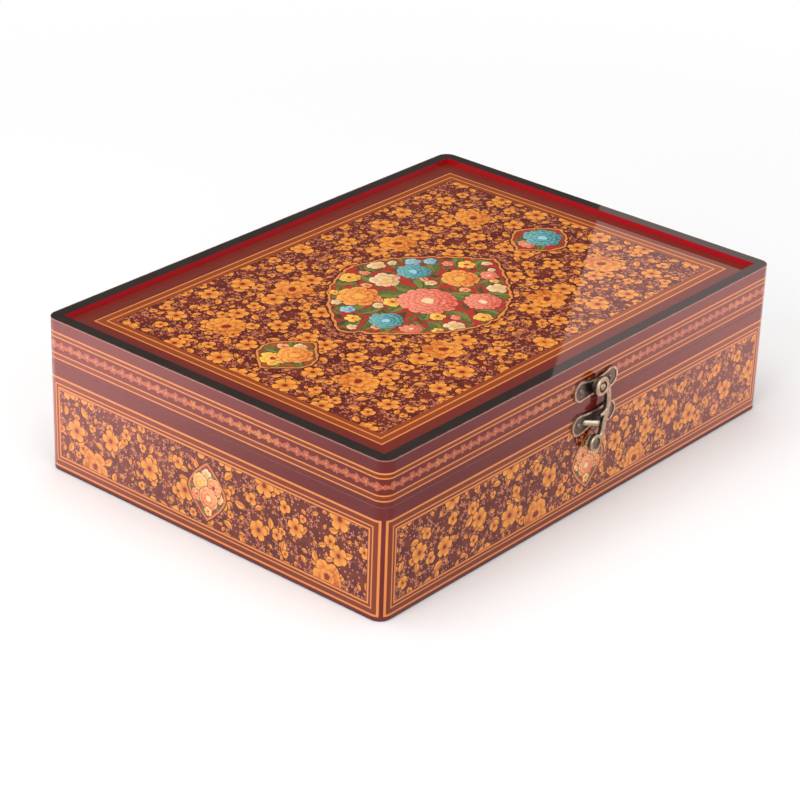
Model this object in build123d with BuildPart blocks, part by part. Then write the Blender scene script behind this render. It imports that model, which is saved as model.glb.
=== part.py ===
from build123d import *
import os
from math import atan2, cos, degrees, radians, sin

os.makedirs("parts", exist_ok=True)

# Decoupage box with a hinged lid. X runs along the front, Y from front to back and
# Z up. The origin is the centre of the face that the box stands on. Millimetres.

# The box over its papers
box_length = 258.0
box_width = 186.0
corner_radius = 5.5
base_height = 49.9
lid_height = 19.9
parting_gap = 0.2

# Boards, papers and panels
board = 5.3
paper = 0.2
panel_thickness = 3.0
bottom_thickness = 3.0
rim_depth = 2.6
housing_depth = 2.5
panel_play = 0.1
print_margin = 0.3

# Swing-hook latch on the front
latch_offset = 1.2
latch_length = 29.0
plate_lobe_radius = 4.6
plate_thickness = 1.0
plate_border = 0.9
plate_emboss = 0.3
outer_waist = 3.0
inner_waist = 3.9
pivot_above_parting = 6.8
catch_below_parting = 8.7
pivot_boss_radius = 2.6
pivot_boss_height = 1.5
rivet_radius = 1.1
rivet_head_radius = 1.6
rivet_head_height = 0.9
rivet_crown_radius = 0.8
hook_thickness = 1.9
eye_radius = 4.3
eye_recess_radius = 2.5
eye_recess_depth = 0.7
arm_width = 2.7
arm_start = (3.05, 0.0)
arm_bow = (5.15, -8.3)
arm_heel = (3.8, -15.0)
arm_ankle = (2.7, -19.8)
tab_place = (-1.95, -25.2)
tab_radius = 3.8
tab_recess_radius = 2.5
tab_recess_depth = 0.5
barb_root = (4.6, -12.5)
barb_tip = (0.9, -13.1)
barb_radius = 0.8
notch_softness = 0.6
edge_softness = 0.4
running_clearance = 0.06
side_clearance = 0.1

# Catch horn that the hook closes round
horn_radius = 1.3
horn_length = 5.6
horn_rise_angle = 50.0
horn_foot_offset = -5.6
horn_tip_softness = 1.0
horn_tail_radius = 0.9

# Nails of the latch, cut tacks with square shanks
latch_nail_width = 1.0
latch_nail_length = 4.5
latch_nail_head_radius = 1.35
latch_nail_head_height = 0.7

# Hinges on the back
hinge_spacing = 156.0
leaf_length = 18.0
leaf_height = 8.0
leaf_thickness = 0.8
leaf_corner_radius = 1.2
barrel_radius = 1.6
barrel_clearance = 0.1
knuckle_count = 3
knuckle_gap = 0.1
pin_radius = 0.6
hinge_nail_width = 0.9
hinge_nail_length = 4.0
hinge_nail_head_radius = 1.1
hinge_nail_head_height = 0.6
hinge_nail_spacing = 11.0

# Fit and shape of every nail
nail_clearance = 0.05
nail_head_taper = 30.0

# Levels and plan sizes that follow from these
parting_z = base_height + parting_gap / 2
lid_bottom = base_height + parting_gap
box_height = lid_bottom + lid_height
board_length = box_length - 2 * paper
board_width = box_width - 2 * paper
inner_length = board_length - 2 * board
inner_width = board_width - 2 * board
panel_length = inner_length + 2 * (housing_depth - panel_play)
panel_width = inner_width + 2 * (housing_depth - panel_play)
panel_top = box_height - rim_depth - paper
front_y = -box_width / 2
back_y = box_width / 2
sides = ("front", "back", "left", "right")


def mitre_wedge(side):
    """Plan outline that holds one side, bounded by the 45 degree mitres of its corners."""
    x = box_length / 2
    y = box_width / 2
    reach = 2 * (board + paper)
    wedges = {
        "front": ((-x, -y), (x, -y), (x - reach, -y + reach), (-x + reach, -y + reach)),
        "back": ((x, y), (-x, y), (-x + reach, y - reach), (x - reach, y - reach)),
        "left": ((-x, y), (-x, -y), (-x + reach, -y + reach), (-x + reach, y - reach)),
        "right": ((x, -y), (x, y), (x - reach, y - reach), (x - reach, -y + reach)),
    }
    return wedges[side]


def save(piece, name):
    """Label a finished piece and write its STEP file."""
    piece.label = name
    export_step(piece, f"parts/{name}.step")


# Planes on the front and back faces. Local x runs along the box and local y is up on the
# front; on the back local x runs the other way, so that local y is up again.
def front_plane(x, z, proud=0.0):
    """Plane facing out of the front face, at a height z and a distance proud of it."""
    return Plane(origin=(x, front_y - proud, z), x_dir=(1, 0, 0), z_dir=(0, -1, 0))


def back_plane(x, z, proud=0.0):
    """Plane facing out of the back face, at a height z and a distance proud of it."""
    return Plane(origin=(x, back_y + proud, z), x_dir=(-1, 0, 0), z_dir=(0, 1, 0))


# Places of the latch and the hinges
pivot_z = parting_z + pivot_above_parting
catch_z = parting_z - catch_below_parting
lobe_offset = latch_length / 2 - plate_lobe_radius
plate_floor = plate_thickness - plate_emboss
hinge_places = {"left": -hinge_spacing / 2, "right": hinge_spacing / 2}
axis_proud = barrel_radius + barrel_clearance
hinge_nail_rise = (leaf_height + barrel_radius) / 2


def nail_places(side, low_body):
    """Places on one outer face where nails enter the boards of the base or of the lid."""
    if side == "front":
        z = catch_z if low_body else pivot_z
        return [front_plane(latch_offset + s * lobe_offset, z) for s in (-1, 1)]
    if side == "back":
        z = parting_z + (-hinge_nail_rise if low_body else hinge_nail_rise)
        return [
            back_plane(x + s * hinge_nail_spacing / 2, z)
            for x in hinge_places.values()
            for s in (-1, 1)
        ]
    return []


def nail_hole(side):
    """Width and depth of a square nail hole, the nail of that face with the clearance added."""
    if side == "front":
        return latch_nail_width + 2 * nail_clearance, latch_nail_length + nail_clearance
    return hinge_nail_width + 2 * nail_clearance, hinge_nail_length + nail_clearance


def side_board(side, low_body):
    """Mitred board of the base or the lid, housed out for the panel that it holds."""
    bottom = 0 if low_body else lid_bottom
    height = base_height if low_body else lid_height
    housing_bottom = 0 if low_body else panel_top - panel_thickness
    housing_height = bottom_thickness if low_body else panel_thickness
    hole_width, hole_depth = nail_hole(side)
    with BuildPart() as mitred_board:
        with BuildSketch(Plane.XY.offset(bottom)) as plan:
            RectangleRounded(board_length, board_width, corner_radius - paper)
            Rectangle(inner_length, inner_width, mode=Mode.SUBTRACT)
            with BuildLine():
                Polyline(*mitre_wedge(side), close=True)
            make_face(mode=Mode.INTERSECT)
        extrude(amount=height)
        with BuildSketch(Plane.XY.offset(housing_bottom)) as housing:
            Rectangle(inner_length + 2 * housing_depth, inner_width + 2 * housing_depth)
        extrude(amount=housing_height, mode=Mode.SUBTRACT)
        for place in nail_places(side, low_body):
            with BuildSketch(place) as hole:
                Rectangle(hole_width, hole_width)
            extrude(amount=-hole_depth, mode=Mode.SUBTRACT)
    return mitred_board.part


def side_print(side, low_body):
    """Printed paper glued on the outside of a board, up to the middle of each corner."""
    bottom = print_margin if low_body else lid_bottom
    height = base_height - print_margin if low_body else lid_height
    hole_width, hole_depth = nail_hole(side)
    with BuildPart() as skin:
        with BuildSketch(Plane.XY.offset(bottom)) as plan:
            RectangleRounded(box_length, box_width, corner_radius)
            RectangleRounded(
                board_length, board_width, corner_radius - paper, mode=Mode.SUBTRACT
            )
            with BuildLine():
                Polyline(*mitre_wedge(side), close=True)
            make_face(mode=Mode.INTERSECT)
        extrude(amount=height)
        for place in nail_places(side, low_body):
            with BuildSketch(place) as hole:
                Rectangle(hole_width, hole_width)
            extrude(amount=-hole_depth, mode=Mode.SUBTRACT)
    return skin.part


# Boards and printed papers of the four sides
for side in sides:
    save(side_board(side, low_body=True), f"base_{side}_board")
    save(side_board(side, low_body=False), f"lid_{side}_board")
    save(side_print(side, low_body=True), f"base_{side}_print")
    save(side_print(side, low_body=False), f"lid_{side}_print")

# Bottom panel, glued into the rabbet flush with the feet of the boards
with BuildPart() as bottom_panel:
    with BuildSketch(Plane.XY) as outline:
        Rectangle(panel_length, panel_width)
    extrude(amount=bottom_thickness)
save(bottom_panel.part, "base_bottom_panel")

# Top panel, held in the groove of the lid boards below their raised rim
with BuildPart() as top_panel:
    with BuildSketch(Plane.XY.offset(panel_top - panel_thickness)) as outline:
        Rectangle(panel_length, panel_width)
    extrude(amount=panel_thickness)
save(top_panel.part, "lid_top_panel")

# Printed paper of the recessed top
with BuildPart() as top_print:
    with BuildSketch(Plane.XY.offset(panel_top)) as outline:
        Rectangle(inner_length - 2 * panel_play, inner_width - 2 * panel_play)
    extrude(amount=paper)
save(top_print.part, "lid_top_print")


def waist_arc(waist):
    """Radius of an arc that runs through the waist and touches both lobes of a plate."""
    reach = lobe_offset**2 + waist**2 - plate_lobe_radius**2
    return reach / (2 * (plate_lobe_radius - waist))


def plate_outline(upper_waist, lower_waist):
    """Latch plate outline: a round lobe at each end, drawn in above and below."""
    upper_radius = waist_arc(upper_waist)
    lower_radius = waist_arc(lower_waist)
    upper_turn = degrees(atan2(upper_waist + upper_radius, lobe_offset))
    lower_turn = degrees(atan2(lower_waist + lower_radius, lobe_offset))
    lobe_turn = 360 - upper_turn - lower_turn
    with BuildSketch() as outline:
        with BuildLine():
            CenterArc((-lobe_offset, 0), plate_lobe_radius, upper_turn, lobe_turn)
            CenterArc((lobe_offset, 0), plate_lobe_radius, 180 + lower_turn, lobe_turn)
            CenterArc(
                (0, upper_waist + upper_radius),
                upper_radius,
                180 + upper_turn,
                180 - 2 * upper_turn,
            )
            CenterArc(
                (0, -lower_waist - lower_radius),
                lower_radius,
                lower_turn,
                180 - 2 * lower_turn,
            )
        make_face()
    return outline.sketch


# Upper latch plate on the lid, with an embossed border and the pivot boss
upper_outline = plate_outline(outer_waist, inner_waist)
latch_hole_width = nail_hole("front")[0]
with BuildPart() as upper_plate:
    with BuildSketch(front_plane(latch_offset, pivot_z)) as blank:
        add(upper_outline)
    extrude(amount=plate_thickness)
    with BuildSketch(front_plane(latch_offset, pivot_z, plate_floor)) as sunk_field:
        add(upper_outline)
        offset(amount=-plate_border)
    extrude(amount=plate_emboss, mode=Mode.SUBTRACT)
    with BuildSketch(front_plane(latch_offset, pivot_z)) as boss:
        Circle(pivot_boss_radius)
    extrude(amount=plate_thickness + pivot_boss_height)
    with BuildSketch(front_plane(latch_offset, pivot_z)) as holes:
        Circle(rivet_radius)
        with Locations((-lobe_offset, 0), (lobe_offset, 0)):
            Rectangle(latch_hole_width, latch_hole_width)
    extrude(amount=plate_thickness + pivot_boss_height, mode=Mode.SUBTRACT)
save(upper_plate.part, "upper_latch_plate")

# Lower latch plate on the base, the same blank turned over
lower_outline = plate_outline(inner_waist, outer_waist)
with BuildPart() as lower_plate:
    with BuildSketch(front_plane(latch_offset, catch_z)) as blank:
        add(lower_outline)
    extrude(amount=plate_thickness)
    with BuildSketch(front_plane(latch_offset, catch_z, plate_floor)) as sunk_field:
        add(lower_outline)
        offset(amount=-plate_border)
    extrude(amount=plate_emboss, mode=Mode.SUBTRACT)
    with BuildSketch(front_plane(latch_offset, catch_z)) as holes:
        with Locations((horn_foot_offset, 0)):
            Circle(horn_tail_radius)
        with Locations((-lobe_offset, 0), (lobe_offset, 0)):
            Rectangle(latch_hole_width, latch_hole_width)
    extrude(amount=plate_thickness, mode=Mode.SUBTRACT)
save(lower_plate.part, "lower_latch_plate")

# Catch horn: a leaning round finger that stands on the plate and is riveted through it
horn_foot = Vector(latch_offset + horn_foot_offset, front_y - plate_floor, catch_z)
horn_lean = radians(horn_rise_angle)
horn_direction = Vector(cos(horn_lean), -sin(horn_lean), 0)
horn_plane = Plane(
    origin=horn_foot - horn_direction * 2 * horn_radius,
    x_dir=(0, 0, 1),
    z_dir=horn_direction,
)
plate_surface = front_plane(latch_offset, catch_z, plate_floor)
with BuildPart() as catch_horn:
    with BuildSketch(horn_plane) as finger:
        Circle(horn_radius)
    extrude(amount=horn_length + 2 * horn_radius)
    tip = catch_horn.edges().filter_by(GeomType.CIRCLE).sort_by(Axis.X)[-1]
    fillet(tip, radius=horn_tip_softness)
    split(bisect_by=plate_surface, keep=Keep.TOP)
    with BuildSketch(front_plane(latch_offset, catch_z)) as tail:
        with Locations((horn_foot_offset, 0)):
            Circle(horn_tail_radius)
    extrude(amount=plate_floor)
save(catch_horn.part, "catch_horn")

# Swing hook: an eye on the rivet, an arm that bows out to the right, a barb above the
# notch and a round finger tab below it
hook_back = plate_thickness + pivot_boss_height + side_clearance
hook_front = hook_back + hook_thickness
with BuildSketch() as barb:
    with Locations(barb_root):
        Circle(arm_width / 2)
    with Locations(barb_tip):
        Circle(barb_radius)
    make_hull()
with BuildSketch() as arm:
    with BuildLine() as arm_line:
        bow = ThreePointArc(arm_start, arm_bow, arm_heel)
        shin = TangentArc(bow @ 1, arm_ankle, tangent=bow % 1)
        TangentArc(shin @ 1, tab_place, tangent=shin % 1)
    trace(line_width=arm_width)
with BuildSketch() as hook_outline:
    Circle(eye_radius)
    with Locations(tab_place):
        Circle(tab_radius)
    add(arm.sketch)
    add(barb.sketch)
    offset(amount=notch_softness)
    offset(amount=-notch_softness)
with BuildPart() as swing_hook:
    with BuildSketch(front_plane(latch_offset, pivot_z, hook_back)) as blank:
        add(hook_outline.sketch)
    extrude(amount=hook_thickness)
    front_edges = swing_hook.faces().sort_by(Axis.Y)[0].edges()
    chamfer(front_edges, length=edge_softness)
    with BuildSketch(front_plane(latch_offset, pivot_z, hook_front)) as eye_hollow:
        Circle(eye_recess_radius)
    extrude(amount=-eye_recess_depth, mode=Mode.SUBTRACT)
    with BuildSketch(front_plane(latch_offset, pivot_z, hook_front)) as tab_hollow:
        with Locations(tab_place):
            Circle(tab_recess_radius)
    extrude(amount=-tab_recess_depth, mode=Mode.SUBTRACT)
    with BuildSketch(front_plane(latch_offset, pivot_z, hook_front)) as rivet_bore:
        Circle(rivet_radius + running_clearance)
    extrude(amount=-hook_thickness, mode=Mode.SUBTRACT)
save(swing_hook.part, "swing_hook")

# Rivet of the hook: a shank through plate, boss and eye under a domed head
head_seat = hook_front - eye_recess_depth + side_clearance
with BuildPart() as hook_rivet:
    with BuildSketch(front_plane(latch_offset, pivot_z)) as shank:
        Circle(rivet_radius)
    extrude(amount=head_seat)
    with BuildSketch(front_plane(latch_offset, pivot_z, head_seat)) as head:
        Circle(rivet_head_radius)
    extrude(amount=rivet_head_height)
    crown = hook_rivet.faces().sort_by(Axis.Y)[0].edges()
    fillet(crown, radius=rivet_crown_radius)
save(hook_rivet.part, "hook_rivet")


def nail_group(places, seat, head_radius, head_height, shank_width, length):
    """Square tacks, each with its round head on a seat that is proud of the box face."""
    with BuildPart() as nails:
        for place in places:
            with BuildSketch(place.offset(seat)) as shank:
                Rectangle(shank_width, shank_width)
            extrude(amount=-length - seat)
            with BuildSketch(place.offset(seat)) as head:
                Circle(head_radius)
            extrude(amount=head_height, taper=nail_head_taper)
    return nails.part


# Nails of the latch plates
for name, low_body in (("lower_latch_nails", True), ("upper_latch_nails", False)):
    nails = nail_group(
        nail_places("front", low_body),
        plate_floor,
        latch_nail_head_radius,
        latch_nail_head_height,
        latch_nail_width,
        latch_nail_length,
    )
    save(nails, name)


# Hinges: leaves on the back face with their knuckles rolled round one pin
knuckle_pitch = leaf_length / knuckle_count
leaf_edge = barrel_radius + 3 * barrel_clearance
hinge_hole_width = nail_hole("back")[0]


def hinge_leaf(x, low_body):
    """One leaf with every other knuckle; the base leaf has the outer knuckles."""
    up = -1 if low_body else 1
    first = 0 if low_body else 1
    bore = pin_radius if low_body else pin_radius + running_clearance
    axis_plane = Plane(
        origin=(x - leaf_length / 2, back_y + axis_proud, parting_z),
        x_dir=(0, 1, 0),
        z_dir=(1, 0, 0),
    )
    with BuildPart() as leaf:
        with BuildSketch(back_plane(x, parting_z)) as flag:
            with Locations((0, up * (leaf_edge + leaf_height) / 2)):
                RectangleRounded(leaf_length, leaf_height - leaf_edge, leaf_corner_radius)
            with Locations((0, up * (leaf_edge + leaf_corner_radius))):
                Rectangle(leaf_length, 2 * leaf_corner_radius)
        extrude(amount=leaf_thickness)
        for place in range(first, knuckle_count, 2):
            middle = (place + 0.5) * knuckle_pitch
            with BuildSketch(back_plane(x - leaf_length / 2 + middle, parting_z)) as strap:
                with Locations((0, up * leaf_edge / 2)):
                    Rectangle(knuckle_pitch - knuckle_gap, leaf_edge)
            extrude(amount=leaf_thickness)
            start = middle - (knuckle_pitch - knuckle_gap) / 2
            with BuildSketch(axis_plane.offset(start)) as knuckle:
                Circle(barrel_radius)
            extrude(amount=knuckle_pitch - knuckle_gap)
        with BuildSketch(axis_plane) as pin_bore:
            Circle(bore)
        extrude(amount=leaf_length, mode=Mode.SUBTRACT)
        with BuildSketch(back_plane(x, parting_z)) as holes:
            with Locations(
                (-hinge_nail_spacing / 2, up * hinge_nail_rise),
                (hinge_nail_spacing / 2, up * hinge_nail_rise),
            ):
                Rectangle(hinge_hole_width, hinge_hole_width)
        extrude(amount=leaf_thickness, mode=Mode.SUBTRACT)
    return leaf.part


for side, x in hinge_places.items():
    save(hinge_leaf(x, low_body=True), f"{side}_hinge_base_leaf")
    save(hinge_leaf(x, low_body=False), f"{side}_hinge_lid_leaf")
    with BuildPart() as hinge_pin:
        pin_plane = Plane(
            origin=(x - leaf_length / 2, back_y + axis_proud, parting_z),
            x_dir=(0, 1, 0),
            z_dir=(1, 0, 0),
        )
        with BuildSketch(pin_plane) as section:
            Circle(pin_radius)
        extrude(amount=leaf_length)
    save(hinge_pin.part, f"{side}_hinge_pin")

# Nails of the hinges
for name, low_body in (("hinge_base_nails", True), ("hinge_lid_nails", False)):
    nails = nail_group(
        nail_places("back", low_body),
        leaf_thickness,
        hinge_nail_head_radius,
        hinge_nail_head_height,
        hinge_nail_width,
        hinge_nail_length,
    )
    save(nails, name)

print(f"box {box_length} x {box_width} x {box_height:.1f} mm")
print(f"hinge axis y {back_y + axis_proud:.2f} z {parting_z:.2f}")
print(f"hook pivot x {latch_offset:.2f} z {pivot_z:.2f}")
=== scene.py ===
# %% [markdown]
# # A decoupage box in Blender
# The box is a low wooden case whose boards are covered with printed flower papers under gloss
# varnish. Its shapes come from the CAD model. This lesson gives them their looks: the papers, the
# lacquered rim, the red paint inside and the antique latch. The prints are drawn by shader nodes,
# so they stay sharp at any distance and no picture file is needed.

# %% Load the CAD model as a fixed frame
import math

import bpy
import numpy as np
from mathutils import Matrix, Vector

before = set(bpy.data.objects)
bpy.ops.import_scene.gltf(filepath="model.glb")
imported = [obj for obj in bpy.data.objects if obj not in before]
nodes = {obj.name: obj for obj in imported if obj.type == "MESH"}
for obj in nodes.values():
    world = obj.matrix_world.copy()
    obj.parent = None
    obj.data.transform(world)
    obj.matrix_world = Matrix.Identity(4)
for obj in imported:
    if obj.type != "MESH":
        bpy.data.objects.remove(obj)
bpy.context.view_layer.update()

# %% [markdown]
# ## A short way to write shader nodes
# A print is thousands of small decisions: is this spot inside a petal, on a line, or on the ground?
# Each decision is arithmetic on the spot's place. The helper below adds one node per call and wires
# it, so a formula reads from left to right as it would on paper.

# %% A pen that writes nodes into one tree
class Pen:
    """Adds shader nodes to a tree. Every method returns the output socket of its last node."""

    def __init__(self, tree):
        self.tree = tree

    def node(self, kind, **settings):
        """One node, with its settings, placed in a grid so that the tree can be read."""
        made = self.tree.nodes.new(kind)
        for name, value in settings.items():
            setattr(made, name, value)
        number = len(self.tree.nodes)
        made.location = (190 * (number % 12), -230 * (number // 12))
        return made

    def plug(self, socket, value):
        """Links a socket into another one, or writes a plain value on it."""
        if isinstance(value, bpy.types.NodeSocket):
            self.tree.links.new(value, socket)
        else:
            socket.default_value = value

    def math(self, operation, *values):
        """One arithmetic node on numbers."""
        made = self.node("ShaderNodeMath", operation=operation)
        for socket, value in zip(made.inputs, values):
            self.plug(socket, value)
        return made.outputs[0]

    def vector(self, operation, *values, scale=None):
        """One arithmetic node on vectors."""
        made = self.node("ShaderNodeVectorMath", operation=operation)
        for socket, value in zip(made.inputs, values):
            self.plug(socket, value)
        if scale is not None:
            self.plug(made.inputs["Scale"], scale)
        is_number = operation in ("LENGTH", "DOT_PRODUCT", "DISTANCE")
        return made.outputs["Value" if is_number else "Vector"]

    def part(self, vector, axis):
        """One number of a vector, axis 0 for x, 1 for y and 2 for z, as a dot product."""
        unit = tuple(float(number == axis) for number in range(3))
        return self.vector("DOT_PRODUCT", vector, unit)

    def join(self, x, y, z=0.0):
        """A vector from three numbers."""
        made = self.node("ShaderNodeCombineXYZ")
        for socket, value in zip(made.inputs, (x, y, z)):
            self.plug(socket, value)
        return made.outputs[0]

    def fade(self, value, low, high):
        """0 below low, 1 above high, and a smooth step between; low above high turns it round."""
        made = self.node("ShaderNodeMapRange", interpolation_type="SMOOTHSTEP", clamp=False)
        for name, number in (("Value", value), ("From Min", low), ("From Max", high)):
            self.plug(made.inputs[name], number)
        return made.outputs["Result"]

    def stripe(self, value, middle, half_width, soft=0.08):
        """1 on a line of the given half width around the middle value, 0 away from it."""
        away = self.math("ABSOLUTE", self.math("SUBTRACT", value, middle))
        return self.fade(away, half_width + soft, half_width - soft)

    def paint(self, under, over, where):
        """One colour over another one, where the mask is 1."""
        made = self.node("ShaderNodeMix", data_type="RGBA")
        self.plug(made.inputs[0], where)
        self.plug(made.inputs[6], under)
        self.plug(made.inputs[7], over)
        return made.outputs[2]

    def noise(self, place, scale, detail=2.0):
        """A cloudy value from 0 to 1, with features of about 1 / scale."""
        made = self.node("ShaderNodeTexNoise", noise_dimensions="3D")
        self.plug(made.inputs["Vector"], place)
        self.plug(made.inputs["Scale"], scale)
        self.plug(made.inputs["Detail"], detail)
        return made.outputs["Fac"]

    def use(self, group, **values):
        """A node group with its inputs set by name, and its outputs returned."""
        made = self.node("ShaderNodeGroup", node_tree=group)
        for name, value in values.items():
            self.plug(made.inputs[name.replace("_", " ")], value)
        return made.outputs


def new_group(name, inputs, outputs):
    """An empty node group, its pen, and its input and output nodes."""
    tree = bpy.data.node_groups.new(name, "ShaderNodeTree")
    kinds = {"number": "NodeSocketFloat", "vector": "NodeSocketVector", "colour": "NodeSocketColor"}
    for side, sockets in (("INPUT", inputs), ("OUTPUT", outputs)):
        for socket_name, kind in sockets:
            tree.interface.new_socket(name=socket_name, in_out=side, socket_type=kinds[kind])
    pen = Pen(tree)
    return tree, pen, pen.node("NodeGroupInput").outputs, pen.node("NodeGroupOutput").inputs


def rgb(red, green, blue):
    """A colour for a socket, from linear light values."""
    return (red, green, blue, 1.0)


def dress(material, *names):
    """Gives the pieces of those names one material."""
    for name in names:
        nodes[name].data.materials.clear()
        nodes[name].data.materials.append(material)


# %% [markdown]
# ## One blossom, drawn by its outline in polar form
# Nearly every flower of these prints has petals around a heart. Seen from its centre, the outline
# of such a flower is a radius that swells and narrows with the angle. One group therefore draws
# them all: five deep petals make a forest flower, many shallow ones in several rings make a
# peony. Drawing each petal as an ellipse would also work, but it costs a node chain per petal.

# %% The blossom group
blossom, pen, given, result = new_group(
    "blossom",
    [("Place", "vector"), ("Radius", "number"), ("Petals", "number"), ("Rings", "number"),
     ("Cleft", "number"), ("Turn", "number")],
    [("Mask", "number"), ("Halo", "number"), ("Tone", "number"), ("Heart", "number")],
)
x, y = pen.part(given["Place"], 0), pen.part(given["Place"], 1)
reach = pen.math("DIVIDE", pen.vector("LENGTH", pen.join(x, y)), given["Radius"])
angle = pen.math("ADD", pen.math("ARCTAN2", y, x), given["Turn"])
beat = pen.math("MULTIPLY", pen.math("DIVIDE", angle, 2 * math.pi), given["Petals"])


def crest_of(beat):
    """How far across a petal: -1 and 1 in the clefts. Its crest is 1 there and rounds off to 0."""
    across = pen.math("ABSOLUTE", pen.math("SUBTRACT", pen.math(
        "MULTIPLY", pen.math("FRACT", beat), 2.0), 1.0))
    square = pen.math("POWER", across, 2.4)
    return across, pen.math("SQRT", pen.math("MAXIMUM", pen.math("SUBTRACT", 1.0, square), 0.0))


across, crest = crest_of(beat)
notch = pen.math("MULTIPLY", pen.fade(across, 0.34, 0.0),
                 pen.math("MULTIPLY", given["Cleft"], 0.08))
edge = pen.math("SUBTRACT", pen.math("SUBTRACT", 1.0, notch),
                pen.math("MULTIPLY", given["Cleft"], pen.math("SUBTRACT", 1.0, crest)))
inside = pen.math("MULTIPLY", pen.math("SUBTRACT", edge, reach), given["Radius"])
ring = pen.math("MULTIPLY", pen.math("DIVIDE", reach, edge), given["Rings"])
half_beat = pen.math("MULTIPLY", pen.math("FLOOR", ring), 0.5)
ring_crest = crest_of(pen.math("ADD", beat, half_beat))[1]
along = pen.math("FRACT", ring)
streak = pen.math("ABSOLUTE", pen.math("SINE", pen.math("MULTIPLY", beat, 4 * math.pi)))
tone = pen.math("MULTIPLY", pen.math("POWER", along, 0.7),
                pen.math("ADD", 0.30, pen.math("MULTIPLY", ring_crest, 0.55)))
tone = pen.math("ADD", tone, pen.math("MULTIPLY", streak, 0.16))
pen.plug(result["Mask"], pen.fade(inside, -0.07, 0.07))
pen.plug(result["Halo"], pen.fade(inside, -0.42, -0.22))
pen.plug(result["Tone"], tone)
pen.plug(result["Heart"], pen.fade(reach, 0.25, 0.18))
print("blossom nodes", len(blossom.nodes))

# %% [markdown]
# ## One leaf
# A leaf is a strip whose half width shrinks to nothing at both ends, with a vein down its middle
# and one half in shade. The place is turned into the leaf's own direction first.

# %% The leaf group
leaf, pen, given, result = new_group(
    "leaf",
    [("Place", "vector"), ("Length", "number"), ("Width", "number"), ("Turn", "number")],
    [("Mask", "number"), ("Halo", "number"), ("Tone", "number")],
)
x, y = pen.part(given["Place"], 0), pen.part(given["Place"], 1)
turn_x, turn_y = pen.math("COSINE", given["Turn"]), pen.math("SINE", given["Turn"])
along = pen.math("ADD", pen.math("MULTIPLY", x, turn_x), pen.math("MULTIPLY", y, turn_y))
across = pen.math("SUBTRACT", pen.math("MULTIPLY", y, turn_x), pen.math("MULTIPLY", x, turn_y))
share = pen.math("DIVIDE", along, given["Length"])
taper = pen.math("SUBTRACT", 1.0, pen.math("MULTIPLY", share, share))
bend = pen.math("MULTIPLY", pen.math("MULTIPLY", share, share), 0.4)
side = pen.math("ADD", across, pen.math("MULTIPLY", bend, given["Width"]))
half = pen.math("MULTIPLY", given["Width"], taper)
inside = pen.math("SUBTRACT", half, pen.math("ABSOLUTE", side))
vein = pen.fade(pen.math("ABSOLUTE", side), 0.06, 0.2)
pen.plug(result["Mask"], pen.fade(inside, -0.06, 0.08))
pen.plug(result["Halo"], pen.fade(inside, -0.34, -0.18))
pen.plug(result["Tone"], pen.math("MULTIPLY", vein, pen.math(
    "ADD", 0.55, pen.math("MULTIPLY", pen.fade(side, -0.1, 0.1), 0.45))))
print("leaf nodes", len(leaf.nodes))

# %% [markdown]
# ## One sprig
# Between the flowers run thin curved stems with berries on both sides. A stem is an arc of a
# circle, so seen from the circle's centre it is a band of equal distance, and its berries stand at
# equal steps of the angle. That takes fewer nodes than a curve drawn point by point.

# %% The sprig group
sprig, pen, given, result = new_group(
    "sprig",
    [("Place", "vector"), ("Radius", "number"), ("Berries", "number"), ("Turn", "number")],
    [("Stem", "number"), ("Berry", "number")],
)
x, y = pen.part(given["Place"], 0), pen.part(given["Place"], 1)
lap = pen.math("FRACT", pen.math("ADD", pen.math("DIVIDE", pen.math("ARCTAN2", y, x), 2 * math.pi),
                                 given["Turn"]))
curl = pen.math("MULTIPLY", given["Radius"],
                pen.math("SUBTRACT", 1.15, pen.math("MULTIPLY", lap, 0.6)))
away = pen.math("ABSOLUTE", pen.math("SUBTRACT", pen.vector("LENGTH", pen.join(x, y)), curl))
shown = pen.math("LESS_THAN", lap, 0.72)
pen.plug(result["Stem"], pen.math("MULTIPLY", pen.fade(away, 0.24, 0.08), shown))
steps = pen.math("SUBTRACT", pen.math("FRACT", pen.math("MULTIPLY", lap, given["Berries"])), 0.5)
along = pen.math("MULTIPLY", pen.math("DIVIDE", steps, given["Berries"]),
                 pen.math("MULTIPLY", given["Radius"], 2 * math.pi))
berry = pen.vector("LENGTH", pen.join(along, pen.math("SUBTRACT", away, 0.66)))
pen.plug(result["Berry"], pen.math("MULTIPLY", pen.fade(berry, 0.50, 0.34), shown))
print("sprig nodes", len(sprig.nodes))

# %% [markdown]
# ## Strewing motifs over a surface
# A Voronoi texture scatters points so that each spot knows the nearest one. Read that way, it is a
# stamp that repeats a motif at uneven places: the group hands out the place measured from the
# nearest point, and random numbers that belong to it, for its turn, its size and its tint.

# %% The strewing group
strew, pen, given, result = new_group(
    "strew",
    [("Place", "vector"), ("Spacing", "number"), ("Unevenness", "number")],
    [("Local", "vector"), ("Chance", "number"), ("Spin", "number"), ("Size", "number")],
)
cell = pen.vector("DIVIDE", given["Place"], pen.join(given["Spacing"], given["Spacing"], 1.0))
points = pen.node("ShaderNodeTexVoronoi", voronoi_dimensions="2D", feature="F1")
pen.plug(points.inputs["Vector"], cell)
pen.plug(points.inputs["Scale"], 1.0)
pen.plug(points.inputs["Randomness"], given["Unevenness"])
flat = pen.vector("MULTIPLY", pen.vector("SUBTRACT", cell, points.outputs["Position"]), (1, 1, 0))
pen.plug(result["Local"], pen.vector("SCALE", flat, scale=given["Spacing"]))
lots = pen.node("ShaderNodeSeparateColor")
pen.plug(lots.inputs[0], points.outputs["Color"])
pen.plug(result["Chance"], lots.outputs[0])
pen.plug(result["Spin"], pen.math("MULTIPLY", lots.outputs[1], 2 * math.pi))
pen.plug(result["Size"], lots.outputs[2])
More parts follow.
